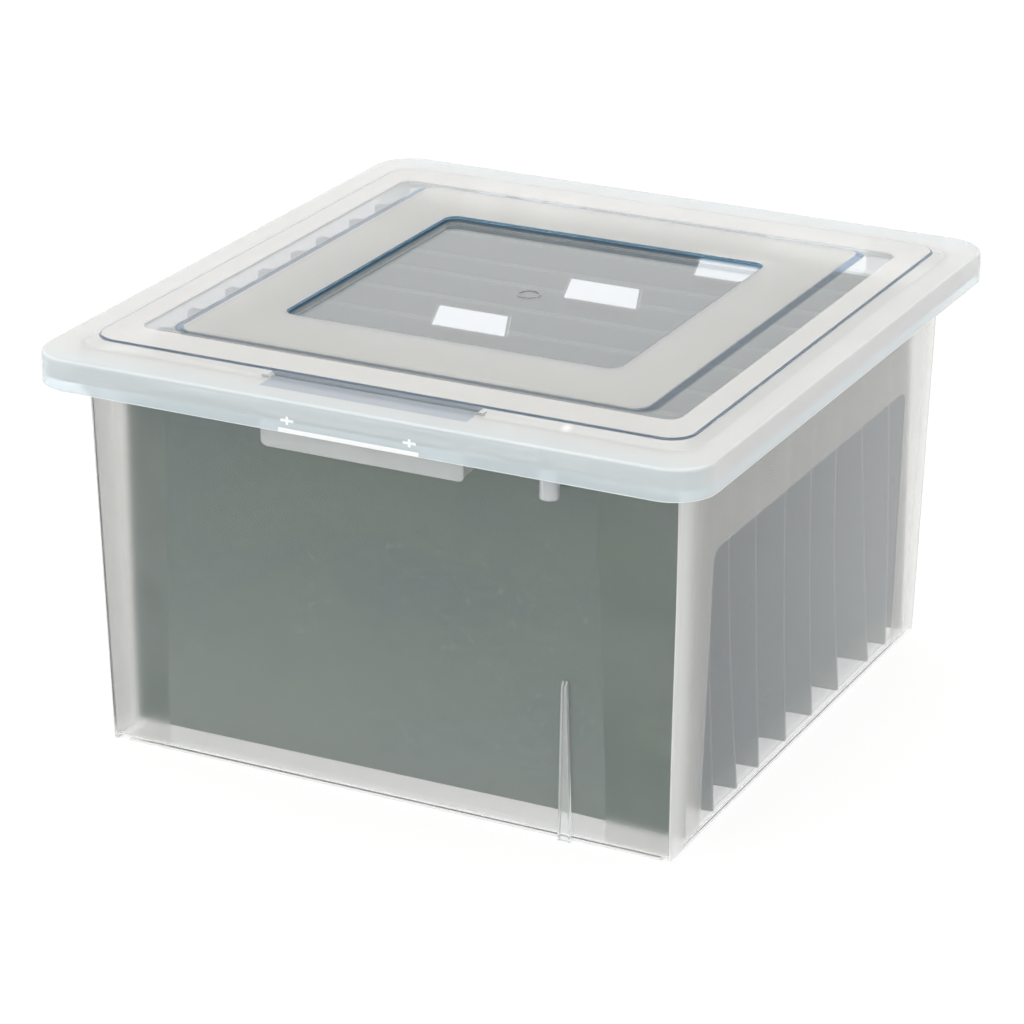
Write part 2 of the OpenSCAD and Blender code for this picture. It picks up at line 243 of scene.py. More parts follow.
def paint(obj, *materials, use=0):
    """Gives an object its materials, and all of its faces the one numbered use."""
    obj.data.materials.clear()
    for material in materials:
        obj.data.materials.append(material)
    for face in obj.data.polygons:
        face.material_index = use
    return obj


def combine(obj, others, operation):
    """Exact union or difference of obj with the others, which are used up. Faces keep their
    material."""
    tool = join(others)
    boolean = obj.modifiers.new("boolean", "BOOLEAN")
    boolean.operation = operation
    boolean.solver = "EXACT"
    boolean.use_self = True
    boolean.material_mode = "INDEX"
    boolean.object = tool
    bpy.context.view_layer.objects.active = obj
    bpy.ops.object.modifier_apply(modifier=boolean.name)
    bpy.data.objects.remove(tool)


def smooth(obj):
    """Smooth shading across the flatter edges."""
    obj.data.shade_smooth()
    obj.data.set_sharp_from_angle(angle=math.radians(SMOOTH_ANGLE))
    return obj


# ---------- body ----------


def grown(outline_sizes, by):
    hx, hy, r = outline_sizes
    return hx + by, hy + by, max(r + by, SHARP_R)


def body_loft():
    """From the floor up the inside of the wall, over the rim and the flange, and down the outside
    to the underside. Each row is an outline, its height and its ease."""
    inner_foot = grown(BASE, -WALL_T)
    rim_inner = grown(RIM, -WALL_T)
    return loft("box_body_shell", [
        (*grown(inner_foot, -4.5), FLOOR_Z, 0),
        (*inner_foot, FLOOR_Z, 3.0),
        (*grown(WALL_TOP, -WALL_T), LEDGE_Z, 0.8),
        (*rim_inner, LEDGE_Z, 1.0),
        (*rim_inner, RIM_Z, 0.7),
        (*RIM, RIM_Z, 0.7),
        (*RIM, FLANGE_Z + FLANGE_T, 1.0),
        (*FLANGE, FLANGE_Z + FLANGE_T, 0.7),
        (*FLANGE, FLANGE_Z, 0.7),
        (*RIM, FLANGE_Z, 1.0),
        (*RIM, LEDGE_Z - WALL_T, 1.0),
        (*grown(WALL_TOP, -0.05), LEDGE_Z - WALL_T, 1.2),
        (*BASE, 0.0, 0.6),
        (*FOOT_INNER, 0.0, 0.5),
        (*FOOT_INNER, FOOT_H, 0),
    ])


def grip():
    """Lip under the flange with a round lower corner at each end, the cheeks that carry it, and
    the two crosses on the flange's edge."""
    arc = [math.radians(a) for a in range(0, 91, 15)]
    half = [(GRIP_HX - GRIP_R + GRIP_R * math.sin(a), GRIP_Z + GRIP_R - GRIP_R * math.cos(a))
            for a in arc]
    top = FLANGE_Z + OVERLAP
    section = [(-x, z) for x, z in reversed(half)] + half
    section = [(-GRIP_HX, top)] + section + [(GRIP_HX, top)]
    lip = prism("grip_lip", section, WALL_T, lambda a, b, d: (a, -GRIP_Y + d, b))
    bevel(lip, 0.7)
    lip_y, rim_y, wall_y = -GRIP_Y + 0.6, OVERLAP - RIM[1], -BASE[1] - LEAN + OVERLAP
    cheek = [
        (lip_y, GRIP_Z + 2.5), (lip_y, top), (rim_y, top), (rim_y, LEDGE_Z - OVERLAP),
        (wall_y, LEDGE_Z - OVERLAP), (wall_y, GRIP_SIDE_Z + 1.5),
    ]
    cheeks = [
        bevel(prism("grip_cheek", cheek, WALL_T, lambda a, b, d, x=x: (x + d, a, b)), 0.5)
        for x in (-GRIP_HX + 0.2, GRIP_HX - WALL_T - 0.2)
    ]
    crosses = [
        bevel(block("grip_cross",
                    (x - CROSS_W / 2, -FLANGE[1] + 0.05, FLANGE_Z - CROSS_H / 3),
                    (x + CROSS_W / 2, CROSS_DEPTH - FLANGE[1], FLANGE_Z + 2 * CROSS_H / 3)), 0.5)
        for x in (-CROSS_X, CROSS_X)
    ]
    return [lip, *cheeks, *crosses]


def ridge(side, lean):
    """One of the rib's two ridges. Each row of its points is at one height."""
    points = []
    for z, out, w, proud in (
        (RIB_FOOT_Z, 0.0, RIB_FOOT_W, RIB_PROUD),
        (RIB_END_Z, lean, RIB_TOP_W + 0.2, RIB_PROUD),
        (RIB_TOP_Z, lean, RIB_TOP_W, 0.6),
    ):
        x = RIB_X + side * (w / 2 - RIB_FOOT_HALF)
        y = -BASE[1] - out
        points += [
            (x - RIB_FOOT_HALF, y + 0.5, z), (x - RIB_CREST_HALF, y - proud, z),
            (x + RIB_CREST_HALF, y - proud, z), (x + RIB_FOOT_HALF, y + 0.5, z),
        ]
    faces = [(i * 4 + j, i * 4 + (j + 1) % 4, i * 4 + 4 + (j + 1) % 4, i * 4 + 4 + j)
             for i in range(2) for j in range(4)]
    faces += [(0, 1, 2, 3), (8, 9, 10, 11)]
    return bevel(mesh_object("rib", points, faces), 0.35)


def rib():
    """Double ridge that stands out of the front wall and widens towards the base."""
    lean = LEAN * (RIB_TOP_Z - FOOT_H) / (LEDGE_Z - FOOT_H)
    slant = lean / (RIB_END_Z - FOOT_H)
    foot, top = RIB_FOOT_W / 2 - 1, RIB_TOP_W / 2 - 0.6
    web = [(-foot, RIB_FOOT_Z), (foot, RIB_FOOT_Z), (top, RIB_END_Z), (-top, RIB_END_Z)]
    ridges = [ridge(side, lean) for side in (-1, 1)]
    return ridges + [prism(
        "rib_web", web, RIB_PROUD - 0.6,
        lambda a, b, d: (RIB_X + a, -BASE[1] - slant * (b - FOOT_H) + 0.4 - d, b))]


def gusset(place):
    section = [(OVERLAP, GUSSET_Z), (OVERLAP, FLANGE_Z + OVERLAP),
               (-GUSSET_OUT, FLANGE_Z + OVERLAP), (-GUSSET_OUT, FLANGE_Z + FLANGE_T), (0, GUSSET_Z)]
    return prism("gusset", section, GUSSET_T, place)


def body_shell(skin, thick):
    shell = paint(body_loft(), skin, thick)
    added = grip() + rib()
    added.append(bevel(disc("nesting_post", POST, POST_R, POST_Z, FLANGE_Z + OVERLAP), 0.6))
    added += [gusset(lambda a, b, d, x=x: (x - GUSSET_T / 2 + d, a - RIM[1], b)) for x in GUSSET_X]
    added.append(gusset(lambda a, b, d: (RIM[0] - a, GUSSET_SIDE_Y - GUSSET_T / 2 + d, b)))
    for o in added:
        paint(o, skin, thick, use=1)
    added += [half_turn(o) for o in added]
    rail_x = WALL_TOP[0] - WALL_T
    rail = bevel(block("rail", (rail_x, -RAIL_HALF_L, LEDGE_Z - OVERLAP),
                       (rail_x + WALL_T, RAIL_HALF_L, RAIL_Z)), 0.4)
    paint(rail, skin, thick)
    added += [rail, half_turn(rail)]
    combine(shell, added, "UNION")
    bore = disc("post_bore", POST, POST_BORE_R, POST_Z - OVERLAP, FLANGE_Z - 3)
    paint(bore, skin, thick, use=1)
    combine(shell, [bore, half_turn(bore)], "DIFFERENCE")
    return smooth(shell)


# ---------- lid ----------


def lid_loft():
    """From the middle of the window out to the skirt, and back underneath. Each row is an outline,
    its height and its ease."""
    t = LID_T
    panel_foot = (SLOPE[0] - SLOPE_IN, SLOPE[1] - SLOPE_IN, SLOPE[2] - SLOPE_IN)
    ring_top = grown(RING, -RING_BEVEL)
    under = grown(WINDOW, t)
    return loft("lid_shell", [
        (*grown(WINDOW, -WINDOW_CAP), WINDOW_Z, 0),
        (*grown(WINDOW, -1.0), WINDOW_Z, 4.0),
        (*WINDOW, RING_Z, 0.6),
        (*ring_top, RING_Z, 0.5),
        (*RING, PANEL_Z, 0.5),
        (*PANEL, PANEL_Z, 0.4),
        (*grown(PANEL, 0.3), BAND_Z + SLOPE_UP, 0.25),
        (*panel_foot, BAND_Z + SLOPE_UP, 0.5),
        (*SLOPE, BAND_Z, 1.6),
        (*LID, BAND_Z, 3.0),
        (*LID, SKIRT_Z, 0.5),
        (*grown(LID, -t), SKIRT_Z, 0.5),
        (*grown(LID, -t), BAND_Z - t, 1.2),
        (*grown(SLOPE, -t * 0.5), BAND_Z - t, 1.0),
        (*grown(panel_foot, -t * 0.2), BAND_Z + SLOPE_UP - t, 0.5),
        (*grown(PANEL, -t + 0.2), BAND_Z + SLOPE_UP - t, 0.25),
        (*grown(PANEL, -t), PANEL_Z - t, 0.4),
        (*grown(RING, -t * 0.4), PANEL_Z - t, 0.5),
        (*grown(ring_top, -t * 0.4), RING_Z - t, 0.5),
        (*under, RING_Z - t, 0.5),
        (*grown(under, -1.0), WINDOW_Z - t, 4.0),
        (*grown(WINDOW, -WINDOW_CAP), WINDOW_Z - t, 0),
    ])


def notch_cut():
    """Trough through the band at the front, whose ends spread out upwards."""
    spread = NOTCH_BEVEL + NOTCH_OVER
    half, top = NOTCH_HX + spread, BAND_Z + spread
    section = [(-NOTCH_HX, BAND_Z), (NOTCH_HX, BAND_Z), (half, top), (-half, top)]
    return prism("notch_cut", section, NOTCH_Y[1] - NOTCH_Y[0],
                 lambda a, b, d: (a, -NOTCH_Y[1] + d, b))


def gate_ring():
    low, high, inner = WINDOW_Z - GATE_DEPTH, WINDOW_Z + GATE_H, GATE_R - GATE_T
    section = [(GATE_R, low), (GATE_R, high), (inner, high), (inner, low)]
    turn = [math.radians(360 * i / GATE_STEPS) for i in range(GATE_STEPS)]
    points = [(r * math.cos(a), r * math.sin(a), z) for a in turn for r, z in section]
    faces = []
    for i in range(GATE_STEPS):
        here, there = i * 4, (i + 1) % GATE_STEPS * 4
        faces += [(here + j, here + (j + 1) % 4, there + (j + 1) % 4, there + j) for j in range(4)]
    return bevel(mesh_object("gate_ring", points, faces), 0.2)


def lid_shell(skin, thick):
    shell = paint(lid_loft(), skin, thick)
    reach = NOTCH_HX + NOTCH_BEVEL + LID_T
    pad = block("notch_pad", (-reach, -SLOPE[1] + 1.2, BAND_Z - LID_T),
                (reach, -NOTCH_Y[0] + LID_T, BAND_Z + SLOPE_UP - 0.6))
    bead = bevel(block("snap_bead", (-BEAD_HX, -LID[1] + LID_T / 2, SKIRT_Z),
                       (BEAD_HX, -LID[1] + LID_T + BEAD_T, SKIRT_Z + BEAD_H)), 0.5)
    paint(pad, skin, thick)
    paint(bead, skin, thick, use=1)
    combine(shell, [pad, bead, half_turn(bead), paint(gate_ring(), skin, thick)], "UNION")
    combine(shell, [paint(notch_cut(), skin, thick)], "DIFFERENCE")
    return smooth(shell)


# ---------- materials ----------

# Colours, and the share of light that passes
FROST = (0.955, 0.955, 0.94, 1)
MILK = (0.88, 0.88, 0.875, 1)
# Painted cool shade: blue tint, and the share of light it lets pass
COOL_SHADE_COLOR, COOL_SHADE_THROUGH = (0.83, 0.92, 0.965, 1), 0.63
CLEAR, WINDOW_CLEAR = (0.985, 0.99, 0.99, 1), (0.945, 0.975, 1.0, 1)
THICK, SOLID_THROUGH = (0.92, 0.94, 0.95, 1), 0.15
# Painted shade: dark blue standing for the dark inside seen through steep faces and side panels
PAINTED_SHADE_COLOR = (0.07, 0.22, 0.42, 1)
CARD, CARD_CLOUD = (0.107, 0.171, 0.130, 1), (0.084, 0.147, 0.140, 1)
CARD_FIBRE, CARD_FLECK = (0.150, 0.210, 0.160, 1), (0.21, 0.23, 0.19, 1)
CARD_EDGE = (0.27, 0.285, 0.225, 1)
STEEL = (0.62, 0.64, 0.64, 1), (0.74, 0.75, 0.74, 1)
FILM = (0.98, 0.985, 0.99, 1)
PAPER = (0.93, 0.93, 0.91, 1), (0.98, 0.98, 0.97, 1)
WHITE = (1, 1, 1, 1)

# Strengths of the body's zones
FRONT_HAZE_AND_PAINTED_LIGHT, SIDE_HAZE = (0.070, 0.036), 0.004   # at the foot and top of the front, and the sides; the rise towards the foot is painted light
SIDE_MILK = (0.5, 1.0)                  # in the side walls, and in them near the corners
FOOT_MILK, FOOT_SOLID = 0.3, 0.85
CORNER_SOLID, LINE_HIGHLIGHT = 0.4, 0.6     # side wall near the corners, and the painted highlight line along them
SIDE_PAINTED_SHADE = 0.26                        # painted dark shade in the side panels, above the foot

# Strengths of the lid's zones
# The notch, ring and step strengths are of painted dark shade
WINDOW_HAZE, NOTCH_PAINTED_SHADE = 0.08, 0.34
RING_PAINTED_SHADE, STEP_PAINTED_SHADE = 0.7, 0.85
# The top-edge strength is a painted highlight, and the spot's strength a painted bright spot
MARK_SOLID, TOP_HIGHLIGHT, SKIRT_SOLID, PAINTED_SPOT_SOLID = 0.85, 0.12, 0.6, 0.3
SKIRT_LOW_COOL_SHADE, SKIRT_COOL_SHADE, PANEL_COOL_SHADE = (0.7, 1.0), (0.15, 0.7), (0.1, 0.5)  # sides, and ends

# Where the looks of a side wall change: how far short of the front wall, or of the corner's
# outline at the foot and at the top
MILK_FROM, CORNER_FROM, HIGHLIGHT_FROM = (40, 22), (28, 5), (3.2, 2.4)
TURN_IN = (0.9, 2.6)

# Noise: scale, detail and roughness
FROST_GRAIN, FROST_CLOUDS = (1500, 3.0, 0.6), (14, 3.0, 0.55)
THICK_GRAIN, THICK_CLOUDS = (900, 3.0, 0.6), (25, 2.0, 0.5)
CARD_CLOUDS, CARD_FIBRES, CARD_FLECKS = (11, 5.0, 0.62), (230, 2.0, 0.5), (240, 0.0, 0.5)
STEEL_WEAR, FILM_HAZE, PAPER_FIBRES = (260, 3.0, 0.6), (300, 2.0, 0.5), (1200, 3.0, 0.6)
FINE_BUMP = 0.00004                     # depth of the finest grain, in metres
CLOUD_LOW, CLOUD_HIGH = 0.3, 0.7        # noise between which the plastic's clouds change
FROST_CLOUD, THICK_CLOUD = 0.01, 0.02   # how much they change the share of light that passes


class Graph:
    """Short names for the shader nodes of one material."""

    def __init__(self, name):
        self.material = bpy.data.materials.new(name)
        self.material.use_nodes = True
        self.tree = self.material.node_tree
        self.shader = self.tree.nodes["Principled BSDF"]
        self.coordinates = self.tree.nodes.new("ShaderNodeTexCoord").outputs["Object"]

    def put(self, socket, value):
        if isinstance(value, bpy.types.NodeSocket):
            self.tree.links.new(value, socket)
        elif value is not None:
            socket.default_value = value

    def math(self, operation, a, b=None):
        node = self.tree.nodes.new("ShaderNodeMath")
        node.operation = operation
        self.put(node.inputs[0], a)
        self.put(node.inputs[1], b)
        return node.outputs[0]

    def chain(self, operation, first, *others):
        for other in others:
            first = self.math(operation, first, other)
        return first

    def most(self, *values):
        return self.chain("MAXIMUM", *values)

    def least(self, *values):
        return self.chain("MINIMUM", *values)

    def times(self, *values):
        return self.chain("MULTIPLY", *values)

    def plus(self, a, b):
        return self.math("ADD", a, b)

    def minus(self, a, b):
        return self.math("SUBTRACT", a, b)

    def absolute(self, value):
        return self.math("ABSOLUTE", value)

    def split(self, vector):
        node = self.tree.nodes.new("ShaderNodeSeparateXYZ")
        self.put(node.inputs[0], vector)
        return node.outputs

    def scaled(self, factors):
        node = self.tree.nodes.new("ShaderNodeVectorMath")
        node.operation = "MULTIPLY"
        self.put(node.inputs[0], self.coordinates)
        node.inputs[1].default_value = factors
        return node.outputs[0]

    def noise(self, look, vector=None):
        scale, detail, roughness = look
        node = self.tree.nodes.new("ShaderNodeTexNoise")
        self.put(node.inputs["Vector"], vector or self.coordinates)
        node.inputs["Scale"].default_value = scale
        node.inputs["Detail"].default_value = detail
        node.inputs["Roughness"].default_value = roughness
        return node.outputs["Fac"]

    def ramp(self, value, low, high, to_low=0.0, to_high=1.0):
        """Smooth step from to_low, where the value is low, to to_high, where it is high."""
        node = self.tree.nodes.new("ShaderNodeMapRange")
        node.interpolation_type = "SMOOTHSTEP"
        for socket, v in zip(node.inputs[0:5], (value, low, high, to_low, to_high)):
            self.put(socket, v)
        return node.outputs[0]

    def span(self, value, low, high, to_low=0.0, to_high=1.0):
        """The same for a distance, between two limits in millimetres."""
        return self.ramp(value, low * MM, high * MM, to_low, to_high)

    def mix(self, factor, a, b):
        """Number between a, where the factor is 0, and b, where it is 1."""
        node = self.tree.nodes.new("ShaderNodeMix")
        self.put(node.inputs[0], factor)
        self.put(node.inputs[2], a)
        self.put(node.inputs[3], b)
        return node.outputs[0]

    def blend(self, factor, a, b):
        """Colour between a, where the factor is 0, and b, where it is 1."""
        node = self.tree.nodes.new("ShaderNodeMix")
        node.data_type = "RGBA"
        self.put(node.inputs["Factor"], factor)
        self.put(node.inputs["A"], a)
        self.put(node.inputs["B"], b)
        return node.outputs["Result"]

    def bump(self, height, strength):
        node = self.tree.nodes.new("ShaderNodeBump")
        node.inputs["Strength"].default_value = strength
        node.inputs["Distance"].default_value = FINE_BUMP
        self.put(node.inputs["Height"], height)
        return node.outputs["Normal"]

    def set(self, **values):
        for name, value in values.items():
            self.put(self.shader.inputs[name.replace("_", " ")], value)

    def rectangle(self, a, b, half_a, half_b, r):
        """Signed distance to a round-cornered rectangle round the origin, all in metres. It is
        negative inside."""
        da = self.minus(self.absolute(a), self.minus(half_a, r))
        db = self.minus(self.absolute(b), self.minus(half_b, r))
        out_a, out_b = self.most(da, 0.0), self.most(db, 0.0)
        length = self.math("SQRT", self.plus(self.times(out_a, out_a), self.times(out_b, out_b)))
        inside = self.least(self.most(da, db), 0.0)
        return self.minus(self.plus(length, inside), r)


def plastic(name, zones, clear_color, frosted_look, milky_look, clear_rough, ior):
    """Translucent plastic. The looks are a roughness and the share of light that passes. zones(g)
    gives, at each point: the distance to the polished parts, negative inside; how milky the rest
    is; how much painted cool shade it has, a blue tint that passes less light; how much it is
    thickened and white, painted highlights included; how much painted dark shade it has; and the
    haze where it is polished, which on the body's front and back is painted light near the foot."""
    g = Graph(name)
    clear, milkiness, painted_cool_shade, solid, painted_shade, haze = zones(g)
    frosted = g.span(clear, -0.5, 0.5)
    grain = g.noise(FROST_GRAIN)
    clouds = g.ramp(g.noise(FROST_CLOUDS), CLOUD_LOW, CLOUD_HIGH, -FROST_CLOUD, FROST_CLOUD)
    rough, through = (g.mix(milkiness, a, b) for a, b in zip(frosted_look, milky_look))
    through = g.mix(frosted, g.minus(1.0, haze), g.plus(through, clouds))
    through = g.mix(painted_cool_shade, through, COOL_SHADE_THROUGH)
    color = g.blend(frosted, clear_color, g.blend(milkiness, FROST, g.blend(painted_cool_shade, MILK, COOL_SHADE_COLOR)))
    g.set(Base_Color=g.blend(solid, g.blend(painted_shade, color, PAINTED_SHADE_COLOR), THICK), IOR=ior)
    g.set(Roughness=g.mix(frosted, clear_rough, rough))
    g.set(Transmission_Weight=g.mix(solid, through, SOLID_THROUGH))
    grained = g.times(frosted, g.minus(1.0, milkiness))
    g.set(Normal=g.bump(g.times(grain, grained), 0.05))
    return g.material


def thick_plastic(name, through):
    """The same plastic where it is thick and scatters more light: ribs, lips and edges."""
    g = Graph(name)
    grain = g.noise(THICK_GRAIN)
    clouds = g.ramp(g.noise(THICK_CLOUDS), CLOUD_LOW, CLOUD_HIGH,
                    through - THICK_CLOUD, through + THICK_CLOUD)
    g.set(Base_Color=THICK, IOR=1.49, Roughness=g.mix(grain, 0.14, 0.22))
    g.set(Transmission_Weight=clouds)
    return g.material


def short_of(limit, distances):
    return [limit - distance for distance in distances]


def body_zones(g):
    """Polished panels in the front, the back and both sides, down to the floor. The rim, the foot,
    the upright corners and the side walls scatter more light than the rest. A painted highlight
    runs up each upright corner, painted dark shade fills the side panels above the foot, and the
    front and back panels grow hazier towards the foot, painted light that lightens them there."""
    x, y, z = g.split(g.coordinates)
    ax, ay = g.absolute(x), g.absolute(y)
    foot_hx, top_hx, z0, z1 = FRONT_PANEL
    front = g.minus(ax, g.span(z, z0, z1, foot_hx * MM, top_hx * MM))
    front = g.most(front, g.minus(FRONT_FROM_Y * MM, ay), g.minus(FLOOR_Z * MM, z))
    foot_hy, top_hy, z0, z1 = SIDE_PANEL
    side_hy = g.span(z, z0, z1, foot_hy * MM, top_hy * MM)
    side = g.rectangle(y, g.minus(z, z0 * MM), side_hy, (z1 - z0) * MM, SIDE_PANEL_R * MM)
    side = g.most(side, g.minus(z0 * MM, z), g.minus(SIDE_FROM_X * MM, ax))
    # Painted light: the front and back panels grow hazier towards the foot, lightening the card
    # seen through their lower part
    haze = g.mix(g.span(ay, FRONT_FROM_Y, FRONT_FROM_Y + 2), SIDE_HAZE,
                 g.span(z, 0, 200, *FRONT_HAZE_AND_PAINTED_LIGHT))
    # Painted shade: dark blue in the side panels above the foot, standing for the dark cards seen
    # through them
    painted_shade = g.times(g.span(side, -0.5, 0, 1.0, 0.0), g.span(z, 8, 40, 0.0, SIDE_PAINTED_SHADE))

    rim = g.span(z, LEDGE_Z - 3, LEDGE_Z + 1)
    foot = g.span(z, FLOOR_Z, FLOOR_Z + 3, FOOT_MILK, 0.0)
    foot_ring = g.span(g.rectangle(x, y, *(v * MM for v in BASE)), -8, -7)
    foot_edge = g.times(foot_ring, g.span(z, 1.2, FLOOR_Z, FOOT_SOLID, 0.0))

    # Distances from the leaning walls, and where a corner has turned into the side wall
    spread = g.span(z, 0, LEDGE_Z, 0.0, LEAN * MM)
    ax, ay = g.minus(ax, spread), g.minus(ay, spread)
    turn = g.minus(ax, g.span(z, 0, LEDGE_Z, *(v * MM for v in short_of(BASE[0], TURN_IN))))
    turned = g.span(turn, 0, 0.5)
    wall = g.times(g.span(ay, *short_of(BASE[1], MILK_FROM), *SIDE_MILK), turned)
    corner = g.times(g.span(ay, *short_of(BASE[1], CORNER_FROM), 0.0, CORNER_SOLID), turned)
    # Painted highlight: a white line up each upright corner
    highlight_line = g.times(g.span(turn, 0, 0.2), g.span(turn, 0.5, 1, LINE_HIGHLIGHT, 0.0),
                   g.span(ay, *short_of(BASE[1], HIGHLIGHT_FROM)))
    solid = g.most(corner, highlight_line, foot_edge)
    return g.least(front, side), g.most(rim, foot, wall), 0.0, solid, painted_shade, haze


def lid_zones(g):
    """Polished window, strip round the frosted ring, and edge of the panel. Outside the strip the
    lid is smooth and milky, with painted shade in the notch, and white where ribs stiffen the
    skirt. Painted dark shade lines the steep polished faces, a painted highlight runs along the
    skirt's top edge, a painted bright spot sits where each post shows through, and the lower skirt
    and the band round the panel get a painted cool shade."""
    x, y, z = g.split(g.coordinates)
    ax, ay = g.absolute(x), g.absolute(y)

    def flat(sizes):
        return g.rectangle(x, y, *(v * MM for v in sizes))

    ring, window, polished = flat(RING), flat(grown(WINDOW, 0.4)), flat(POLISHED)
    edge_x, edge_y = RING_EDGE
    ring_top = flat((RING[0] - edge_x, RING[1] - edge_y, RING[2] - edge_y))
    panel = flat(PANEL)
    strip = g.most(polished, g.times(ring_top, -1.0))
    step = g.minus(g.absolute(panel), 0.7 * MM)
    mid, half = (NOTCH_Y[0] + NOTCH_Y[1]) / 2, (NOTCH_Y[1] - NOTCH_Y[0]) / 2
    notch = g.rectangle(x, g.minus(y, -mid * MM), (NOTCH_HX + 1) * MM, (half + 0.5) * MM, 1 * MM)

    # Painted shade: steep polished faces get a dark blue that stands for the dark inside seen edge
    # on through them
    edge = g.times(g.span(ring_top, 0, 0.4), g.span(ring, 0.2, 0.4, 1.0, 0.0), RING_PAINTED_SHADE)
    wall = g.times(g.span(window, -4.8, -1.4), g.span(window, 0.1, 0.4, 1.0, 0.0),
                   g.span(z, WINDOW_Z - 0.3, WINDOW_Z + 2.2))
    painted_shade = g.most(edge, wall, g.span(step, -0.4, 0, STEP_PAINTED_SHADE, 0.0),
                  g.span(notch, -0.2, 0.2, NOTCH_PAINTED_SHADE, 0.0))

    # Bar on the foot of the skirt, and a cross at each end of it
    skirt = g.span(ay, LID[1] - LID_T - 0.4, LID[1] - LID_T)
    bar = g.rectangle(x, g.minus(z, SKIRT_Z * MM), BEAD_HX * MM, BEAD_H * MM, 0.6 * MM)
    side, high = g.minus(ax, CROSS_X * MM), g.minus(z, CROSS_Z * MM)
    post = g.rectangle(side, high, CROSS_W / 2 * MM, CROSS_H / 2 * MM, 0.3 * MM)
    arm = g.rectangle(side, high, CROSS_ARM * MM, CROSS_W / 2 * MM, 0.3 * MM)
    marks = g.times(skirt, g.span(g.least(bar, post, arm), -0.2, 0.3, MARK_SOLID, 0.0))

    # Painted highlight along the top edge of the skirt, a whiter bottom edge, and a painted bright
    # spot where the post shows through the lid, half a turn apart at both ends
    rim = flat(LID)
    top_highlight = g.times(g.span(rim, -2.4, -1.4), g.span(rim, -0.7, -0.3, TOP_HIGHLIGHT, 0.0),
                       g.span(z, BAND_Z - 2.2, BAND_Z - 1.4))
    foot_edge = g.span(z, SKIRT_Z + 0.4, SKIRT_Z + 0.8, SKIRT_SOLID, 0.0)
    turned = g.times(g.math("SIGN", y), -1.0)
    painted_spot = g.rectangle(g.minus(g.times(x, turned), PAINTED_SPOT[0] * MM), g.minus(ay, PAINTED_SPOT[1] * MM),
                       PAINTED_SPOT_R * MM, PAINTED_SPOT_R * MM, (PAINTED_SPOT_R - 0.1) * MM)
    solid = g.most(marks, top_highlight, foot_edge, g.span(painted_spot, -3, 2, PAINTED_SPOT_SOLID, 0.0))

    # Painted cool shade: the skirt below the flange line, and the band round the panel, get a blue
    # tint and pass less light, standing for the cooler shade there
    ends = g.span(ay, LID[1] - LID[2], LID[1] - 5)
    low_cool_shade, high_cool_shade, panel_cool_shade = (
        g.mix(ends, *pair) for pair in (SKIRT_LOW_COOL_SHADE, SKIRT_COOL_SHADE, PANEL_COOL_SHADE))
    painted_cool_shade = g.mix(g.span(z, COOL_SHADE_Z, COOL_SHADE_Z + 0.5), low_cool_shade, high_cool_shade)
    painted_cool_shade = g.most(g.times(painted_cool_shade, g.span(rim, -2.5, -2)), g.times(g.span(panel, 0, 1), panel_cool_shade))
    return g.least(strip, window, step), g.span(polished, -0.5, 0.5), painted_cool_shade, solid, painted_shade, WINDOW_HAZE


def card_material():
    """Green card: mottled fibres, small flecks, and paler cut edges at both ends."""
    g = Graph("folder_card")
    x, y, z = g.split(g.coordinates)
    clouds = g.ramp(g.noise(CARD_CLOUDS, g.scaled((0.7, 1, 1.1))), 0.36, 0.64)
    fibres = g.ramp(g.noise(CARD_FIBRES, g.scaled((0.35, 1, 1.2))), 0.3, 0.75)
    flecks = g.ramp(g.noise(CARD_FLECKS), 0.72, 0.80)
    color = g.blend(clouds, CARD, CARD_CLOUD)
    color = g.blend(g.times(fibres, 0.32), color, CARD_FIBRE)
    color = g.blend(g.times(flecks, 0.4), color, CARD_FLECK)
    color = g.blend(g.span(g.absolute(x), CARD_HX - 0.25, CARD_HX - 0.05), color, CARD_EDGE)
    g.set(Base_Color=color, Roughness=0.85, Specular_IOR_Level=0.25)
    return g.material


def steel_material():
    """Coated steel of the hanger bars, worn along their length."""
    g = Graph("rod_coated_steel")
    wear = g.ramp(g.noise(STEEL_WEAR, g.scaled((0.1, 1, 1))), 0.35, 0.7)
    g.set(Base_Color=g.blend(wear, *STEEL), Metallic=0.6)
    g.set(Roughness=g.plus(g.times(wear, 0.12), 0.32))
    return g.material


def film_material():
    """Clear film of the index tabs."""
    g = Graph("tab_clear_film")
    haze = g.noise(FILM_HAZE)
    g.set(Base_Color=FILM, IOR=1.33, Transmission_Weight=0.95)
    g.set(Roughness=g.plus(g.times(haze, 0.08), 0.06))
    return g.material


def label_material():
    """White paper. It glows a little, to make up for the light that the lid holds back."""
    g = Graph("label_paper")
    fibres = g.noise(PAPER_FIBRES)
    g.set(Base_Color=g.blend(fibres, *PAPER), Roughness=0.8)
    g.set(Emission_Color=WHITE, Emission_Strength=0.65)
    g.set(Normal=g.bump(fibres, 0.15))
    return g.material


# ---------- camera, light and floor ----------

CAMERA_AZIMUTH, CAMERA_ELEVATION, CAMERA_ROLL = 26.484, 21.795, 0.263
CAMERA_PLACE = (1023.2, -2075.9, 1044.0)
CAMERA_LENS, CAMERA_SENSOR = 137.8, 36

SKY_STRENGTH = (1.05, 1.68)             # at the horizon and overhead
SKY_BRIGHT_SIDE = (-0.5, -0.85, 0.0)    # direction that the brighter half of the light comes from
SKY_SIDES = (0.74, 1.26)                # factor on the dark side and on the bright one
SKY_TINT = (1.0, 0.98, 0.95, 1)

FLOOR_SIZE = 12                         # metres
FLOOR_COLOR, FLOOR_GLOW = (0.12, 0.12, 0.12, 1), 0.88

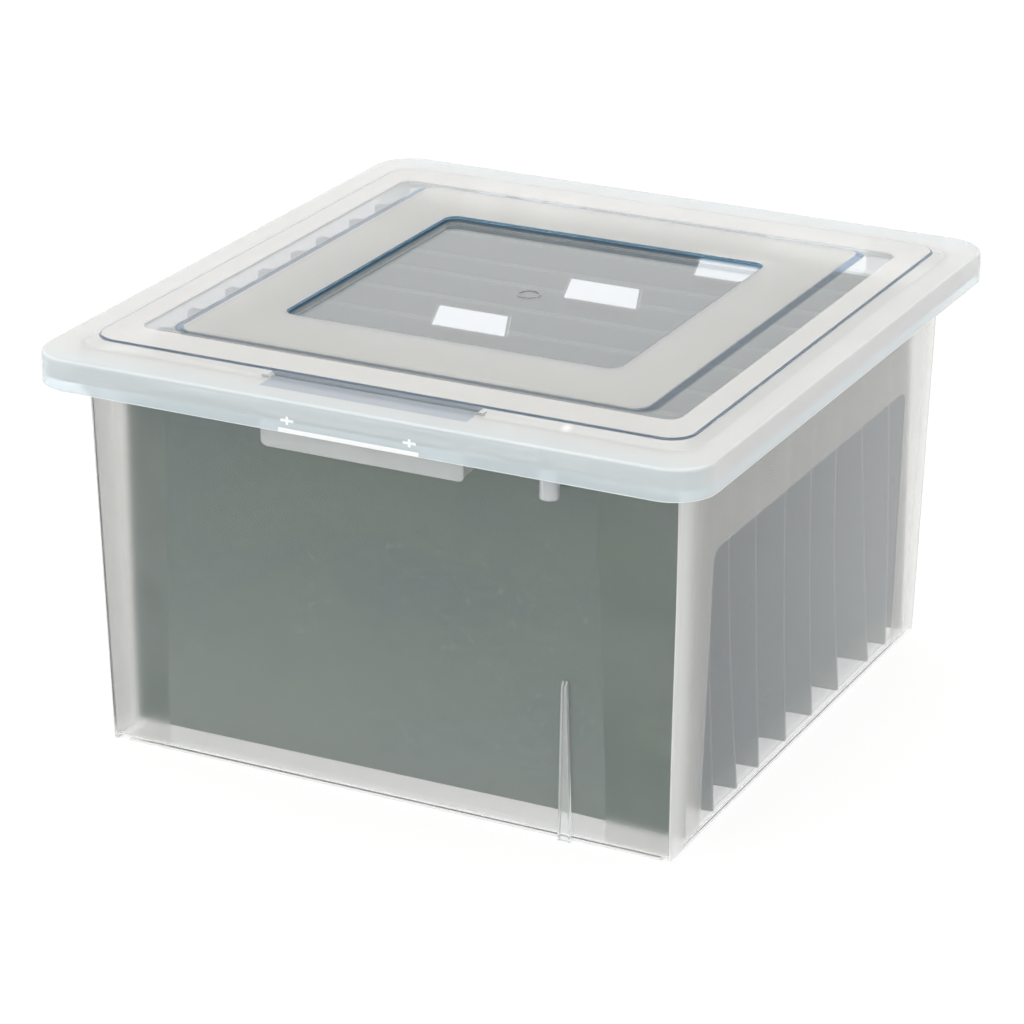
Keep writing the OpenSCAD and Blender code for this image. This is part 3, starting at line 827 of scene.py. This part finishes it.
LAMP_PLACE, LAMP_AIM = (-0.4, 0.5, 2.4), (0, 0, 0.13)   # metres
LAMP_SIZE, LAMP_POWER, LAMP_COLOR = (1.8, 1.8), 13, (1.0, 0.985, 0.96)


def make_camera():
    az, el, roll = (math.radians(v) for v in (CAMERA_AZIMUTH, CAMERA_ELEVATION, CAMERA_ROLL))
    back = Vector((math.sin(az) * math.cos(el), -math.cos(az) * math.cos(el), math.sin(el)))
    level = Vector((math.cos(az), math.sin(az), 0))
    upright = back.cross(level)
    right = math.cos(roll) * level + math.sin(roll) * upright
    up = -math.sin(roll) * level + math.cos(roll) * upright
    data = bpy.data.cameras.new("camera")
    data.lens = CAMERA_LENS
    data.sensor_width = CAMERA_SENSOR
    camera = bpy.data.objects.new("camera", data)
    turn = Matrix((right, up, back)).transposed().to_4x4()
    camera.matrix_world = Matrix.Translation(Vector(CAMERA_PLACE) * MM) @ turn
    bpy.context.scene.collection.objects.link(camera)
    bpy.context.scene.camera = camera


def make_world():
    """White all round for the camera and in gloss and clear plastic, and a soft sky, brighter
    overhead, that lights the object."""
    world = bpy.data.worlds.new("world")
    bpy.context.scene.world = world
    world.use_nodes = True
    tree = world.node_tree
    sky = tree.nodes["Background"]

    def combined(operation, a, b):
        node = tree.nodes.new("ShaderNodeMath")
        node.operation = operation
        tree.links.new(a, node.inputs[0])
        tree.links.new(b, node.inputs[1])
        return node.outputs[0]

    def graded(source, low, high, to_low, to_high):
        node = tree.nodes.new("ShaderNodeMapRange")
        tree.links.new(source, node.inputs[0])
        for socket, v in zip(node.inputs[1:5], (low, high, to_low, to_high)):
            socket.default_value = v
        return node.outputs[0]

    direction = tree.nodes.new("ShaderNodeTexCoord").outputs["Generated"]
    up = tree.nodes.new("ShaderNodeSeparateXYZ")
    tree.links.new(direction, up.inputs[0])
    side = tree.nodes.new("ShaderNodeVectorMath")
    side.operation = "DOT_PRODUCT"
    tree.links.new(direction, side.inputs[0])
    side.inputs[1].default_value = SKY_BRIGHT_SIDE
    strength = combined("MULTIPLY", graded(up.outputs["Z"], 0.0, 1.0, *SKY_STRENGTH),
                        graded(side.outputs["Value"], -1.0, 1.0, *SKY_SIDES))
    tree.links.new(strength, sky.inputs["Strength"])
    sky.inputs["Color"].default_value = SKY_TINT

    white = tree.nodes.new("ShaderNodeBackground")
    white.inputs["Color"].default_value = WHITE
    path = tree.nodes.new("ShaderNodeLightPath").outputs
    seen = path["Is Camera Ray"]
    for kind in ("Is Glossy Ray", "Is Transmission Ray"):
        seen = combined("MAXIMUM", seen, path[kind])
    mix = tree.nodes.new("ShaderNodeMixShader")
    tree.links.new(seen, mix.inputs[0])
    tree.links.new(sky.outputs[0], mix.inputs[1])
    tree.links.new(white.outputs[0], mix.inputs[2])
    tree.links.new(mix.outputs[0], tree.nodes["World Output"].inputs["Surface"])


def make_floor():
    """White floor that keeps a soft shadow of the object."""
    bpy.ops.mesh.primitive_plane_add(size=FLOOR_SIZE)
    floor = bpy.context.object
    floor.name = "floor"
    g = Graph("floor_white")
    g.set(Base_Color=FLOOR_COLOR, Roughness=0.9, Specular_IOR_Level=0.0)
    g.set(Emission_Color=WHITE, Emission_Strength=FLOOR_GLOW)
    paint(floor, g.material)


def make_lamp():
    data = bpy.data.lights.new("top_lamp", "AREA")
    data.shape = "RECTANGLE"
    data.size, data.size_y = LAMP_SIZE
    data.energy = LAMP_POWER
    data.color = LAMP_COLOR
    lamp = bpy.data.objects.new("top_lamp", data)
    lamp.location = LAMP_PLACE
    aim = Vector(LAMP_AIM) - lamp.location
    lamp.rotation_euler = aim.to_track_quat("-Z", "Y").to_euler()
    bpy.context.scene.collection.objects.link(lamp)


# ---------- the object ----------

make_camera()
make_world()
make_floor()
make_lamp()
bpy.context.scene.view_settings.view_transform = "Standard"

body = body_shell(
    plastic("body_plastic", body_zones, CLEAR, frosted_look=(0.27, 0.955), milky_look=(0.17, 0.74),
            clear_rough=0.05, ior=1.43),
    thick_plastic("body_plastic_thick", through=0.70),
)
lid = lid_shell(
    plastic("lid_plastic", lid_zones, WINDOW_CLEAR, frosted_look=(0.32, 0.82),
            milky_look=(0.17, 0.62), clear_rough=0.03, ior=1.49),
    thick_plastic("lid_plastic_thick", through=0.25),
)
for piece, node, slot in ((body, "box_body", "frosted_plastic"), (lid, "lid", "lid_plastic")):
    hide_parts(node)
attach(body, "box")
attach(lid, "lid")

finishes = {"card": card_material(), "rod_steel": steel_material(), "clear_film": film_material(),
            "label_paper": label_material()}
for entry in frame["record"]["subparts"]:
    if entry["material_slot"] in finishes:
        paint(frame["nodes"][entry["node"]], finishes[entry["material_slot"]])
